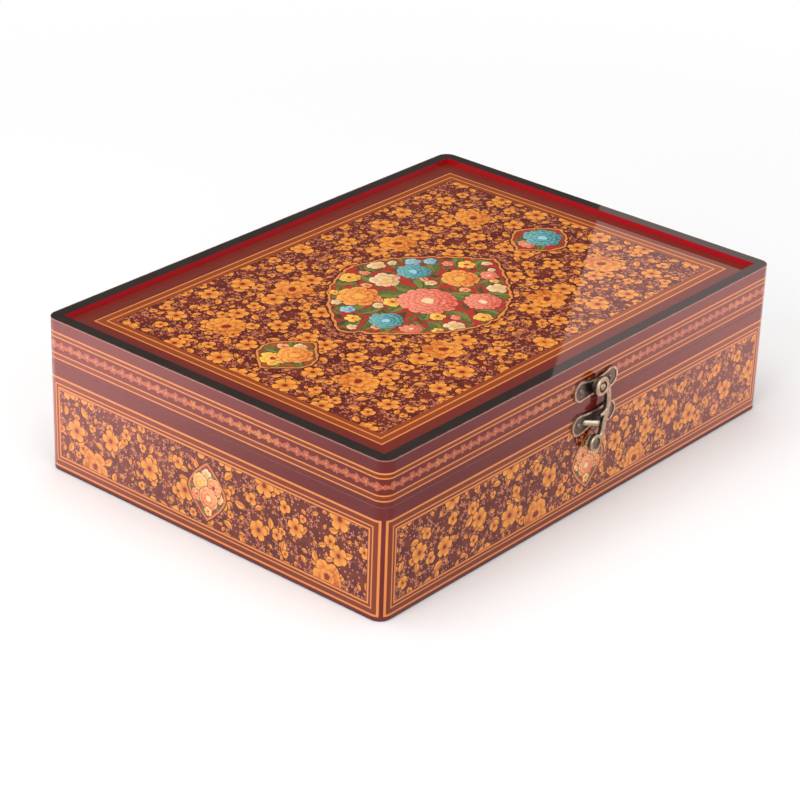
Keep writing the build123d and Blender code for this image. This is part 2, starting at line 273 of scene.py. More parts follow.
print("strewing nodes", len(strew.nodes))

# %% [markdown]
# ## The strewn flower field
# All the prints share one filling: orange flowers of three sizes, small leaves, curled sprigs and
# pale dots on a maroon ground. It is a traditional all-over pattern. Layers are painted from the
# back to the front, and leaves and flowers have a dark line around them, as a brush would leave.

# %% Colours of the inks
maroon = rgb(0.165, 0.022, 0.010)
deep_maroon = rgb(0.105, 0.010, 0.006)
line_maroon = rgb(0.085, 0.008, 0.005)
orange = rgb(0.46, 0.072, 0.011)
amber = rgb(0.86, 0.325, 0.048)
rust = rgb(0.22, 0.022, 0.008)
pale_pink = rgb(0.62, 0.225, 0.108)
stem_pink = rgb(0.53, 0.160, 0.066)
gold = rgb(0.74, 0.24, 0.055)
strip_red = rgb(0.150, 0.012, 0.011)
deep_strip_red = rgb(0.120, 0.008, 0.008)

# %% The flower field group
field, pen, given, result = new_group(
    "flower_field", [("Place", "vector")], [("Colour", "colour")])
place = given["Place"]
cloud = pen.noise(place, 0.16, 3.0)
colour = pen.paint(maroon, deep_maroon, pen.fade(cloud, 0.62, 0.38))

# sprigs of two sizes
for spacing, shift, radius, berries in ((9.0, 91.0, 3.3, 7.0), (14.5, 29.0, 5.6, 10.0)):
    spots = pen.use(strew, Place=pen.vector("ADD", place, (shift, shift * 0.4, 0)), Spacing=spacing,
                    Unevenness=0.7)
    drawn = pen.use(sprig, Place=spots["Local"], Radius=radius, Berries=berries,
                    Turn=spots["Chance"])
    colour = pen.paint(colour, stem_pink, pen.math("MULTIPLY", drawn["Stem"], 0.85))
    colour = pen.paint(colour, pale_pink, pen.math("MULTIPLY", drawn["Berry"], 0.9))

# dots
dots = pen.use(strew, Place=place, Spacing=2.5, Unevenness=0.9)
dot_size = pen.math("ADD", 0.20, pen.math("MULTIPLY", dots["Size"], 0.30))
away = pen.math("SUBTRACT", pen.vector("LENGTH", dots["Local"]), dot_size)
shown = pen.math("GREATER_THAN", dots["Chance"], 0.30)
dot = pen.math("MULTIPLY", pen.fade(away, 0.1, -0.06), shown)
colour = pen.paint(colour, pale_pink, pen.math("MULTIPLY", dot, 0.85))

# small leaves, in two layers so that they may lie close together
for spacing, shift, length, least in ((5.6, 11.0, 1.6, 0.40), (8.2, 53.0, 2.6, 0.30)):
    spots = pen.use(strew, Place=pen.vector("ADD", place, (shift, -shift, 0)), Spacing=spacing,
                    Unevenness=0.8)
    long = pen.math("MULTIPLY", length,
                    pen.math("ADD", 0.7, pen.math("MULTIPLY", spots["Size"], 0.5)))
    drawn = pen.use(leaf, Place=spots["Local"], Length=long, Width=pen.math("MULTIPLY", long, 0.52),
                    Turn=spots["Spin"])
    shown = pen.math("GREATER_THAN", spots["Chance"], least)
    tint = pen.paint(orange, amber, drawn["Tone"])
    colour = pen.paint(colour, line_maroon, pen.math("MULTIPLY", drawn["Halo"], shown))
    colour = pen.paint(colour, tint, pen.math("MULTIPLY", drawn["Mask"], shown))

# flowers, the small ones below the large ones
for spacing, shift, radius, petals, cleft, least in (
        (9.8, 71.0, 2.0, 3.0, 0.50, 0.58), (14.0, 17.0, 3.2, 3.0, 0.66, 0.40),
        (21.0, 5.0, 5.3, 5.0, 0.74, 0.0)):
    spots = pen.use(strew, Place=pen.vector("ADD", place, (shift, shift, 0)), Spacing=spacing,
                    Unevenness=0.5)
    wide = pen.math("MULTIPLY", radius,
                    pen.math("ADD", 0.85, pen.math("MULTIPLY", spots["Size"], 0.2)))
    drawn = pen.use(blossom, Place=spots["Local"], Radius=wide, Petals=petals, Rings=1.0,
                    Cleft=cleft, Turn=spots["Spin"])
    shown = pen.math("GREATER_THAN", spots["Chance"], least)
    tint = pen.paint(orange, amber, pen.fade(drawn["Tone"], 0.10, 0.95))
    colour = pen.paint(colour, line_maroon, pen.math("MULTIPLY", drawn["Halo"], shown))
    colour = pen.paint(colour, tint, pen.math("MULTIPLY", drawn["Mask"], shown))
    colour = pen.paint(colour, rust, pen.math("MULTIPLY", drawn["Heart"], shown))
pen.plug(result["Colour"], colour)
print("flower field nodes", len(field.nodes))

# %% [markdown]
# ## Varnished paper
# The papers lie under a glossy varnish. It is never quite flat: its skin waves a little, which
# softens reflections. A Principled shader carries the gloss, and a weak bump carries the waves.
# One function finishes every paper, so that all of them shine alike.

# %% The varnish skin group, and the material of a varnished surface
skin, pen, given, result = new_group("varnish_skin", [("Place", "vector")],
                                     [("Height", "number"), ("Roughness", "number")])
waves = pen.noise(given["Place"], 0.05, 2.0)
grain = pen.noise(given["Place"], 1.6, 2.0)
pen.plug(result["Height"], pen.math("ADD", waves, pen.math("MULTIPLY", grain, 0.05)))
pen.plug(result["Roughness"], pen.math("ADD", 0.005, pen.math("MULTIPLY", grain, 0.025)))


def new_material(name):
    """A material with a Principled shader, its pen, and the place in millimetres."""
    material = bpy.data.materials.new(name)
    material.use_nodes = True
    material.node_tree.nodes.clear()
    pen = Pen(material.node_tree)
    shader = pen.node("ShaderNodeBsdfPrincipled")
    output = pen.node("ShaderNodeOutputMaterial")
    pen.plug(output.inputs["Surface"], shader.outputs[0])
    place = pen.vector("SCALE", pen.node("ShaderNodeTexCoord").outputs["Object"], scale=1000.0)
    return material, pen, shader, place


def uneven(pen, shader, height, strength, distance):
    """Makes the surface look uneven by a height of 0 to 1. The distance is in metres."""
    bump = pen.node("ShaderNodeBump")
    bump.inputs["Strength"].default_value = strength
    bump.inputs["Distance"].default_value = distance
    pen.plug(bump.inputs["Height"], height)
    pen.plug(shader.inputs["Normal"], bump.outputs[0])


def varnish(pen, shader, place, colour, index=1.45):
    """Finishes a painted or printed surface with gloss varnish of that index of refraction."""
    coat = pen.use(skin, Place=place)
    uneven(pen, shader, coat["Height"], 0.15, 0.0001)
    pen.plug(shader.inputs["Roughness"], coat["Roughness"])
    pen.plug(shader.inputs["Base Color"], colour)
    shader.inputs["IOR"].default_value = index


# %% [markdown]
# ## Blossoms at chosen places
# The medallions hold a bouquet: large peonies, roses and leaves, each at its own place. Here the
# strewing group is no help. A short list gives every flower, and a loop paints one after another
# over the colour so far. The bouquets are our own arrangement of common garden flowers.

# %% Painting a bouquet from a list
pink = (rgb(0.58, 0.055, 0.035), rgb(0.89, 0.31, 0.19))
cream = (rgb(0.52, 0.24, 0.09), rgb(0.89, 0.62, 0.35))
blue = (rgb(0.018, 0.13, 0.155), rgb(0.20, 0.47, 0.45))
sky = (rgb(0.07, 0.20, 0.34), rgb(0.33, 0.58, 0.70))
yellow = (rgb(0.66, 0.20, 0.02), rgb(0.93, 0.57, 0.10))
tangerine = (rgb(0.56, 0.09, 0.018), rgb(0.91, 0.40, 0.08))
peach = (rgb(0.66, 0.12, 0.04), rgb(0.92, 0.44, 0.19))
peach_yellow = (rgb(0.74, 0.24, 0.04), rgb(0.93, 0.58, 0.23))
heart_gold = rgb(0.80, 0.42, 0.05)
heart_red = rgb(0.42, 0.03, 0.02)
leaf_greens = (rgb(0.020, 0.050, 0.014), rgb(0.19, 0.20, 0.042))
ink = rgb(0.13, 0.030, 0.014)


def bouquet(pen, place, mottle, leaves, flowers):
    """Leaves, and flowers over them, as one picture: its colour, and a mask of what it covers.
    Blossoms are lighter towards the upper left, as painters shade them, and mottle is a cloudy
    value that makes the inks uneven. A leaf is (x, y, length, turn in degrees), and a flower
    (x, y, radius, petals, rings, cleft, two inks, heart), in millimetres."""
    colour, cover = ink, 0.0
    patchy = pen.math("MULTIPLY", pen.math("SUBTRACT", mottle, 0.5), 1.5)
    for x, y, length, turn in leaves:
        drawn = pen.use(leaf, Place=pen.vector("SUBTRACT", place, (x, y, 0)), Length=length,
                        Width=length * 0.40, Turn=math.radians(turn))
        tint = pen.paint(*leaf_greens, pen.math("ADD", drawn["Tone"], patchy))
        colour = pen.paint(pen.paint(colour, ink, drawn["Halo"]), tint, drawn["Mask"])
        cover = pen.math("MAXIMUM", cover, drawn["Halo"])
    for x, y, radius, petals, rings, cleft, inks, heart in flowers:
        local = pen.vector("SUBTRACT", place, (x, y, 0))
        drawn = pen.use(blossom, Place=local, Radius=radius, Petals=petals, Rings=rings,
                        Cleft=cleft, Turn=(x * 0.37 + y * 0.21))
        lit_side = pen.vector("DOT_PRODUCT", local, (-0.20 / radius, 0.26 / radius, 0))
        tone = pen.math("ADD", pen.math("ADD", drawn["Tone"], patchy), lit_side)
        tint = pen.paint(*inks, tone)
        colour = pen.paint(pen.paint(colour, ink, drawn["Halo"]), tint, drawn["Mask"])
        colour = pen.paint(colour, heart, drawn["Heart"])
        cover = pen.math("MAXIMUM", cover, drawn["Halo"])
    return colour, cover


def pointed(pen, long, across, half_long, blunt, half_across, bumps):
    """A measure that reaches 1 on a pointed medallion: a rhombus from tip to tip whose other two
    corners, which would lie at blunt, are cut round at half_across. Small scallops run along it."""
    rhombus = pen.math("ADD", pen.math("DIVIDE", pen.math("ABSOLUTE", long), half_long),
                       pen.math("DIVIDE", pen.math("ABSOLUTE", across), blunt))
    cut = pen.math("DIVIDE", pen.math("ABSOLUTE", across), half_across)
    both = pen.math("ADD", pen.math("POWER", rhombus, 4.0), pen.math("POWER", cut, 4.0))
    scallop = pen.math("ABSOLUTE", pen.math("SINE", pen.math(
        "MULTIPLY", pen.math("ARCTAN2", across, long), bumps)))
    return pen.math("SUBTRACT", pen.math("POWER", both, 1 / 4),
                    pen.math("MULTIPLY", scallop, 0.014))


def by_hand(pen, place):
    """The same place, led astray a little as a brush would be, in two directions that differ."""
    wander = 3.2
    astray = [pen.math("MULTIPLY", pen.math("SUBTRACT", pen.noise(pen.vector(
        "ADD", place, (shift, 0, 0)), 0.22, 2.0), 0.5), wander) for shift in (0.0, 50.0)]
    return pen.vector("ADD", place, pen.join(*astray))


# %% [markdown]
# ## The sides
# Around the box run a motif band between double gold lines on the lid, a plain band with the
# parting line, and below it a framed panel of flowers with a small medallion. Heights are read
# straight from the object's own coordinates, so the pattern passes over the parting line as the
# real paper did before the box was cut open. Width is measured along the face, so the long and
# the short papers need one material each.

# %% Heights, colours and the small bouquet of a side
parting, rim = 50.0, 69.8
band_middle, pitch = 58.65, 5.05
panel_middle, panel_half_height, medallion_height = 23.15, 20.95, 22.6
band_red = rgb(0.145, 0.011, 0.007)
between_lines = rgb(0.20, 0.028, 0.008)
salmon, pale_orange = rgb(0.54, 0.130, 0.060), rgb(0.66, 0.20, 0.055)
pale_heart = rgb(0.80, 0.36, 0.19)
medallion_reds = (rgb(0.40, 0.060, 0.030), rgb(0.24, 0.025, 0.015))
coral = rgb(0.70, 0.20, 0.07)
# pale cut paper edge, also used as a painted highlight along the rim and the parting line
cut_edge_and_highlight = rgb(0.42, 0.20, 0.17)
side_leaves = [
    (-5.6, -4.6, 4.6, 225), (5.4, -4.8, 5.0, 320), (-6.8, 3.0, 4.0, 130), (6.6, 4.0, 4.0, 50),
    (1.0, -8.0, 4.0, 280), (7.4, -0.4, 3.4, 5), (-2.6, 7.4, 3.4, 110), (3.4, 7.0, 3.4, 70)]
side_flowers = [
    (0.2, 7.6, 2.8, 5, 1, 0.35, cream, heart_gold),
    (-6.6, -0.6, 2.6, 5, 1, 0.35, peach_yellow, heart_red),
    (5.6, -2.8, 3.0, 5, 2, 0.30, peach, heart_red), (-3.6, 3.0, 4.4, 7, 3, 0.22, peach, heart_red),
    (3.8, 3.2, 4.2, 6, 2, 0.25, peach_yellow, heart_gold),
    (-0.8, -2.8, 5.2, 8, 3, 0.18, peach, cream[1]),
    (-0.6, -8.6, 2.2, 5, 1, 0.3, peach_yellow, heart_red)]


# %% The material of a side paper
def side_paper(name, across, half_width, lines_from_end, shift, peony_at):
    """Printed paper of a side. across picks the coordinate that runs along the face, 0 for x and 1
    for y. half_width is the box's half width there, lines_from_end where the upright lines stand,
    shift which part of the endless flower field it shows, and peony_at how far from the middle a
    large blossom grows out of the panel's lower edge."""
    material, pen, shader, place = new_material(name)
    u, z = pen.part(place, across), pen.part(place, 2)
    from_middle = pen.math("ABSOLUTE", u)
    paper = pen.join(u, z)

    # medallion in the middle of the panel, first as a picture of its own
    away = pen.vector("SUBTRACT", paper, (0, medallion_height, 0))
    mottle = pen.noise(paper, 0.9, 3.0)
    posy, posy_cover = bouquet(pen, away, mottle, side_leaves, side_flowers)
    measure = pointed(pen, pen.part(away, 1), pen.part(away, 0), 12.7, 14.5, 10.8, 6.0)

    # motif band: tulips that point up and down in turn, small stars between, and a waving stem
    band = pen.stripe(z, band_middle, 3.3, 0.1)
    steps = pen.math("DIVIDE", pen.math("ADD", u, pitch * 40), pitch)
    number = pen.math("FLOOR", steps)
    local_u = pen.math("MULTIPLY", pen.math("SUBTRACT", pen.math("FRACT", steps), 0.5), pitch)
    parity = pen.math("SUBTRACT", pen.math("MULTIPLY", pen.math("MODULO", number, 2.0), 2.0), 1.0)
    third = pen.math("GREATER_THAN", pen.math("MODULO", number, 3.0), 1.5)
    flipped = pen.math("MULTIPLY", pen.math("SUBTRACT", z, 58.9), parity)
    tulip = pen.use(blossom, Place=pen.join(local_u, pen.math("SUBTRACT", flipped, 0.1)),
                    Radius=2.05, Petals=pen.math("ADD", 3.0, pen.math("MULTIPLY", third, 2.0)),
                    Rings=1.0, Cleft=0.8, Turn=math.pi / 3)
    gap_place = pen.join(pen.math("SUBTRACT", pen.math("ABSOLUTE", local_u), pitch / 2),
                         pen.math("SUBTRACT", z, band_middle))
    star = pen.use(blossom, Place=gap_place, Radius=1.25, Petals=2.0, Rings=1.0, Cleft=0.75,
                   Turn=math.pi / 2)
    stem = pen.stripe(pen.math("SUBTRACT", flipped, pen.math("MULTIPLY", pen.math(
        "COSINE", pen.math("MULTIPLY", local_u, 2 * math.pi / pitch)), 1.3)), 0.2, 0.12, 0.1)
    motif = pen.math("MAXIMUM", tulip["Mask"], pen.math(
        "MAXIMUM", pen.math("MULTIPLY", star["Mask"], 0.85), pen.math("MULTIPLY", stem, 0.4)))

    cloud = pen.noise(paper, 0.03, 3.0)
    colour = pen.paint(strip_red, deep_strip_red, cloud)
    colour = pen.paint(colour, band_red, band)
    tints = pen.paint(salmon, pale_orange, pen.fade(pen.noise(paper, 0.045, 1.0), 0.48, 0.62))
    colour = pen.paint(colour, tints, pen.math("MULTIPLY", pen.math("MULTIPLY", motif, band), 0.82))
    hearts = pen.math("MULTIPLY", pen.math("MAXIMUM", tulip["Heart"], star["Heart"]), 0.5)
    colour = pen.paint(colour, pale_heart, hearts)

    # long gold lines round the lid, with a brown strip under each pair
    for height in (63.4, 53.9):
        colour = pen.paint(colour, between_lines, pen.stripe(z, height, 0.8))
    for height, half, ink_colour in (
            (64.4, 0.36, gold), (62.4, 0.28, gold), (55.0, 0.30, gold), (52.65, 0.30, gold)):
        colour = pen.paint(colour, ink_colour, pen.stripe(z, height, half))

    # framed panel: how far a spot lies outside the panel's outer line
    from_panel_middle = pen.math("ABSOLUTE", pen.math("SUBTRACT", z, panel_middle))
    outside = pen.math("MAXIMUM", pen.math("SUBTRACT", from_middle, half_width - lines_from_end),
                       pen.math("SUBTRACT", from_panel_middle, panel_half_height))
    flowers = pen.use(field, Place=pen.vector("ADD", paper, (shift, 0, 0)))
    peony, peony_cover = bouquet(pen, by_hand(pen, pen.join(from_middle, z)), mottle, [], [
        (peony_at, 9.8, 7.6, 5.0, 2.0, 0.45, (orange, amber), rust)])
    panel = pen.paint(flowers["Colour"], peony, peony_cover)
    colour = pen.paint(colour, panel, pen.fade(outside, -5.3, -5.45))
    for at, half, ink_colour in ((-2.4, 2.2, between_lines), (-0.2, 0.46, gold), (-3.0, 0.30, gold),
                                 (-4.7, 0.40, gold)):
        colour = pen.paint(colour, ink_colour, pen.stripe(outside, at, half))

    ground = pen.paint(*medallion_reds, pen.noise(paper, 0.4, 2.0))
    picture = pen.paint(ground, posy, posy_cover)
    colour = pen.paint(colour, line_maroon, pen.fade(measure, 1.13, 1.09))
    colour = pen.paint(colour, picture, pen.fade(measure, 1.02, 0.98))
    colour = pen.paint(colour, coral, pen.stripe(measure, 1.0, 0.045, 0.03))

    # the cut edges of the paper are pale at the rim and at the parting line, and this pale line is
    # also a painted highlight for the light that the rounded edges there would catch
    edge = pen.math("MAXIMUM", pen.fade(z, rim - 0.3, rim), pen.stripe(z, parting, 0.16, 0.08))
    colour = pen.paint(colour, cut_edge_and_highlight, pen.math("MULTIPLY", edge, 0.75))
    varnish(pen, shader, place, colour, 1.50)
    return material


long_paper = side_paper("long_side_paper", 0, 129.0, 2.6, 300.0, 34.0)
short_paper = side_paper("short_side_paper", 1, 93.0, 2.5, 700.0, 65.0)
for part in ("base", "lid"):
    dress(long_paper, f"{part}_front_print", f"{part}_back_print")
    dress(short_paper, f"{part}_left_print", f"{part}_right_print")
print("side paper nodes", len(long_paper.node_tree.nodes))

# %% [markdown]
# ## The top
# The large paper of the recessed top mirrors its flower field left to right and front to back, as
# printed sheets of this kind do. Taking the absolute value of both coordinates folds the sheet in
# four, and whatever is painted in one quarter appears in all. The medallions are painted after
# unfolding, so that their bouquets aren't mirrored.

# %% The bouquets of the three medallions on the top
central_leaves = [
    (-12, -14, 9, 215), (11, -13, 9, 320), (-9, 9, 9, 140), (10, 7, 9, 40), (-3, 26, 8, 80),
    (-37, -5, 7, 200), (34, -6, 8, 345), (-26, -21, 7, 235), (23, -25, 7, 300), (-30, 12, 8, 150),
    (27, 15, 8, 35), (-5, -26, 8, 265), (-43, 1, 6, 170), (43, 2, 6, 15), (-14, 30, 6, 130),
    (7, -34, 6, 285), (16, 29, 6, 60), (20, 2, 7, 20), (-16, -2, 8, 190), (5, 33, 5, 70),
    (-24, 22, 7, 145), (31, -14, 7, 320), (-36, -12, 6, 220), (38, 11, 6, 30), (-20, -26, 7, 250),
    (10, -18, 8, 280), (0, 8, 8, 95), (-27, 4, 7, 175), (-16, -33, 6, 240), (23, 30, 5, 45)]
central_flowers = [
    (-21, 5, 2.6, 5, 1, 0.35, cream, heart_gold), (-16.5, 8, 2.0, 5, 1, 0.35, peach, heart_red),
    (-38, -8, 2.4, 5, 1, 0.35, peach, heart_red), (-22.5, -29, 2.6, 5, 1, 0.35, yellow, heart_red),
    (-7, -26, 2.4, 5, 1, 0.35, pink, heart_gold), (21, -33, 2.0, 5, 1, 0.35, yellow, heart_red),
    (33, 12, 2.6, 5, 1, 0.35, pink, heart_gold), (12, 4, 2.6, 5, 1, 0.35, cream, heart_gold),
    (13, 8.5, 2.0, 5, 1, 0.35, peach, heart_red), (-9, 22, 2.4, 5, 1, 0.35, peach, heart_red),
    (0, 31, 2.4, 5, 1, 0.35, pink, heart_gold), (16.5, 30, 2.0, 5, 1, 0.35, cream, heart_gold),
    (-24, 27, 2.2, 5, 1, 0.35, yellow, heart_red), (33, -14.5, 2.2, 5, 1, 0.35, yellow, heart_red),
    (41, -6, 1.8, 5, 1, 0.35, cream, heart_gold), (17, -11, 2.6, 5, 1, 0.35, peach, heart_red),
    (-44.5, -1, 2.6, 5, 1, 0.35, cream, heart_gold), (45, 0, 2.5, 5, 1, 0.35, cream, heart_gold),
    (-38, 4.5, 3.6, 5, 1, 0.35, yellow, heart_red), (38, 5.5, 4.0, 5, 1, 0.32, yellow, heart_red),
    (-8, 33, 4.8, 5, 2, 0.30, yellow, heart_red), (10, 33, 4.2, 5, 1, 0.35, cream, heart_gold),
    (-14, -31, 4.6, 5, 1, 0.35, cream, heart_gold), (1, -34, 4.2, 5, 2, 0.30, yellow, heart_red),
    (24, 24, 3.6, 5, 1, 0.45, sky, heart_gold), (29.5, 19, 3.2, 5, 1, 0.45, sky, heart_gold),
    (-33, 12, 3.4, 5, 1, 0.45, sky, heart_gold), (-29, -20, 4.8, 9, 3, 0.30, pink, cream[1]),
    (28, -20, 4.8, 5, 1, 0.30, cream, heart_gold), (36, -9, 4.2, 9, 2, 0.30, pink, cream[1]),
    (-30, -7, 7.6, 11, 4, 0.26, blue, sky[1]), (16, 17, 7.8, 11, 4, 0.26, blue, sky[1]),
    (-20, 17, 9.8, 7, 3, 0.26, tangerine, heart_gold),
    (13, -24, 8.2, 10, 4, 0.22, pink, cream[1]), (-14, 3, 4.4, 5, 1, 0.30, yellow, heart_red),
    (24.5, -2, 8.6, 7, 3, 0.26, tangerine, heart_gold),
    (-31, 20, 2.4, 5, 1, 0.35, cream, heart_gold), (-12, -20, 3.6, 5, 1, 0.35, yellow, heart_red),
    (1, 20, 7.0, 5, 2, 0.30, cream, heart_gold), (-3, -7, 13.0, 13, 5, 0.17, pink, cream[1])]
left_leaves = [(8, 5, 5, 40), (8, -4.5, 5, 320), (-10, -3, 4.5, 200), (-1, 8, 4.5, 100),
               (-3, -8, 4.5, 250)]
left_flowers = [
    (9.5, 1.5, 2.6, 5, 1, 0.35, cream, heart_gold), (4.5, 6.5, 3.0, 5, 1, 0.35, peach, heart_red),
    (-6.5, 2.0, 6.0, 5, 2, 0.3, yellow, heart_red),
    (2.0, -2.4, 7.4, 8, 3, 0.2, tangerine, heart_gold)]
right_leaves = [(-7, 4.5, 5, 150), (-6, -5.5, 5, 215), (10, -5, 4.5, 320), (9, 6, 4.5, 40)]
right_flowers = [(-8.0, 0.5, 4.0, 9, 2, 0.30, pink, heart_gold),
                 (2.2, 0.0, 9.0, 11, 4, 0.26, blue, sky[1])]


def medallion(pen, place, mottle, middle, half_long, blunt, half_across, bumps, leaves, flowers):
    """The picture of a medallion on the top: its bouquet, what that covers, its outline's measure,
    and how much of that measure is one millimetre."""
    away = pen.vector("SUBTRACT", place, (middle, 0, 0))
    posy, cover = bouquet(pen, away, mottle, leaves, flowers)
    measure = pointed(
        pen, pen.part(away, 0), pen.part(away, 1), half_long, blunt, half_across, bumps)
    return posy, cover, measure, 1.0 / half_across


# %% The material of the top paper
margin_reds = (rgb(0.188, 0.027, 0.015), rgb(0.135, 0.015, 0.010))
frame_brown = rgb(0.27, 0.050, 0.010)
frame_half_length, frame_half_width, lozenge_at = 114.6, 78.5, 82.5
top_paper, pen, shader, place = new_material("top_paper")
mottle = pen.noise(place, 0.7, 3.0)
drawn_place = by_hand(pen, place)
central = medallion(
    pen, drawn_place, mottle, 0, 51.0, 66.0, 40.6, 20.0, central_leaves, central_flowers)
left_lozenge = medallion(
    pen, drawn_place, mottle, -lozenge_at, 15.8, 20.0, 13.6, 10.0, left_leaves, left_flowers)
right_lozenge = medallion(
    pen, drawn_place, mottle, lozenge_at, 15.8, 20.0, 13.6, 10.0, right_leaves, right_flowers)

x, y = pen.part(place, 0), pen.part(place, 1)
fold_x, fold_y = pen.math("ABSOLUTE", x), pen.math("ABSOLUTE", y)
folded = pen.join(fold_x, fold_y)
peonies, peony_cover = bouquet(pen, by_hand(pen, folded), mottle, [], [
    (34.5, 42.0, 9.0, 5.0, 2.0, 0.48, (orange, amber), rust),
    (80.5, 36.5, 8.6, 5.0, 2.0, 0.48, (orange, amber), rust)])
outside = pen.math("MAXIMUM", pen.math("SUBTRACT", fold_x, frame_half_length),
                   pen.math("SUBTRACT", fold_y, frame_half_width))
flowers = pen.use(field, Place=folded)
sheet = pen.paint(flowers["Colour"], peonies, peony_cover)
margin = pen.paint(*margin_reds, pen.noise(place, 0.03, 3.0))
colour = pen.paint(margin, sheet, pen.fade(outside, -6.15, -6.3))
for at, half, ink_colour in ((-3.1, 3.1, frame_brown), (-0.05, 0.36, gold), (-3.6, 0.38, gold)):
    colour = pen.paint(colour, ink_colour, pen.stripe(outside, at, half))
red_ground = pen.paint(rgb(0.58, 0.034, 0.024), rgb(0.30, 0.020, 0.012), mottle)
brown_ground = pen.paint(rgb(0.42, 0.12, 0.02), rgb(0.27, 0.04, 0.012), mottle)
for spacing, shift, long in ((5.4, 13.0, 2.6), (7.2, 31.0, 3.6)):
    spots = pen.use(strew, Place=pen.vector("ADD", drawn_place, (shift, shift, 0)), Spacing=spacing,
                    Unevenness=1.0)
    twig = pen.use(leaf, Place=spots["Local"], Length=long, Width=long * 0.36, Turn=spots["Spin"])
    green = pen.paint(*leaf_greens, pen.math("MULTIPLY", twig["Tone"], spots["Size"]))
    red_ground = pen.paint(red_ground, green, pen.math("MULTIPLY", twig["Mask"], 0.85))
    brown_ground = pen.paint(brown_ground, green, pen.math("MULTIPLY", twig["Mask"], 0.6))
for (posy, cover, measure, width), ground in (
        (central, red_ground), (left_lozenge, brown_ground), (right_lozenge, red_ground)):
    colour = pen.paint(colour, line_maroon,
                       pen.fade(measure, 1.0 + 1.6 * width, 1.0 + 1.2 * width))
    picture = pen.paint(ground, posy, cover)
    colour = pen.paint(colour, picture, pen.fade(measure, 1.01, 0.99))
    colour = pen.paint(colour, line_maroon, pen.stripe(measure, 1.0, width * 0.95, width * 0.2))
    colour = pen.paint(colour, gold, pen.stripe(measure, 1.0, width * 0.55, width * 0.25))
varnish(pen, shader, place, colour, 1.52)
dress(top_paper, "lid_top_print")
print("top paper nodes", len(top_paper.node_tree.nodes))

# %% [markdown]
# ## Lacquered boards and red paint
# The bare board edges, on the rim and at the parting line, are black lacquer, and every face that
# looks inwards is painted red. Both belong to the same boards, so one material chooses between
# them by place: inside the box's inner walls it is red. The mitred corners show as a hair line
# where two boards meet. Along the outer edge of the rim the lacquer is painted lighter in patches:
# partly wear, and partly a painted highlight where the rounded edge would catch the light.

# %% The material of the boards
boards, pen, shader, place = new_material("lacquer_and_red_paint")
side_x = pen.math("ABSOLUTE", pen.part(place, 0))
side_y = pen.math("ABSOLUTE", pen.part(place, 1))
inner_half_length, inner_half_width = 123.5, 87.5
within = pen.math("MAXIMUM", pen.math("SUBTRACT", side_x, inner_half_length),
                  pen.math("SUBTRACT", side_y, inner_half_width))
true_normal = pen.node("ShaderNodeNewGeometry").outputs["True Normal"]
normal_z = pen.math("ABSOLUTE", pen.part(true_normal, 2))
upright = pen.fade(normal_z, 0.7, 0.5)
painted = pen.math("MULTIPLY", pen.fade(within, 0.12, 0.02), upright)
stretched = pen.vector("MULTIPLY", place, (0.05, 0.05, 0.9))
grain = pen.noise(stretched, 1.0, 5.0)
lacquer = pen.paint(rgb(0.016, 0.010, 0.008), rgb(0.032, 0.021, 0.017), grain)
mitre = pen.math("ABSOLUTE", pen.math("SUBTRACT", pen.math("SUBTRACT", side_x, 129.0),
                                      pen.math("SUBTRACT", side_y, 93.0)))
lacquer = pen.paint(lacquer, rgb(0.010, 0.007, 0.006), pen.fade(mitre, 0.22, 0.08))
# lighter lacquer along the rim's outer edge: partly wear, and partly a painted highlight where the
# rounded edge would catch the light
worn = pen.math("MULTIPLY", pen.fade(within, 4.6, 5.3),
                pen.fade(pen.noise(place, 0.3, 3.0), 0.3, 0.7))
lacquer = pen.paint(lacquer, rgb(0.16, 0.12, 0.10), pen.math("MULTIPLY", worn, 0.7))
cloud = pen.noise(place, 0.06, 4.0)
red_paint = pen.paint(rgb(0.52, 0.005, 0.012), rgb(0.40, 0.004, 0.010), cloud)
varnish(pen, shader, place, pen.paint(lacquer, red_paint, painted))
dress(boards, *[name for name in nodes if name.endswith("_board")])

# %% [markdown]
# The bottom panel and the underside of the top are painted red inside the box. The face that the
# box stands on is plain black lacquer, rubbed dull where it touches the table.

# %% The material of the panels
panels, pen, shader, place = new_material("red_panel_paint")
z = pen.part(place, 2)
strokes = pen.noise(pen.vector("MULTIPLY", place, (0.02, 0.4, 1.0)), 1.0, 5.0)
red_paint = pen.paint(rgb(0.40, 0.004, 0.010), rgb(0.27, 0.003, 0.008), strokes)
rubbed = pen.fade(pen.noise(place, 0.02, 4.0), 0.35, 0.7)
underside = pen.paint(rgb(0.030, 0.023, 0.020), rgb(0.075, 0.058, 0.048), rubbed)
varnish(pen, shader, place, pen.paint(underside, red_paint, pen.fade(z, 0.5, 1.0)))
dress(panels, "base_bottom_panel", "lid_top_panel")
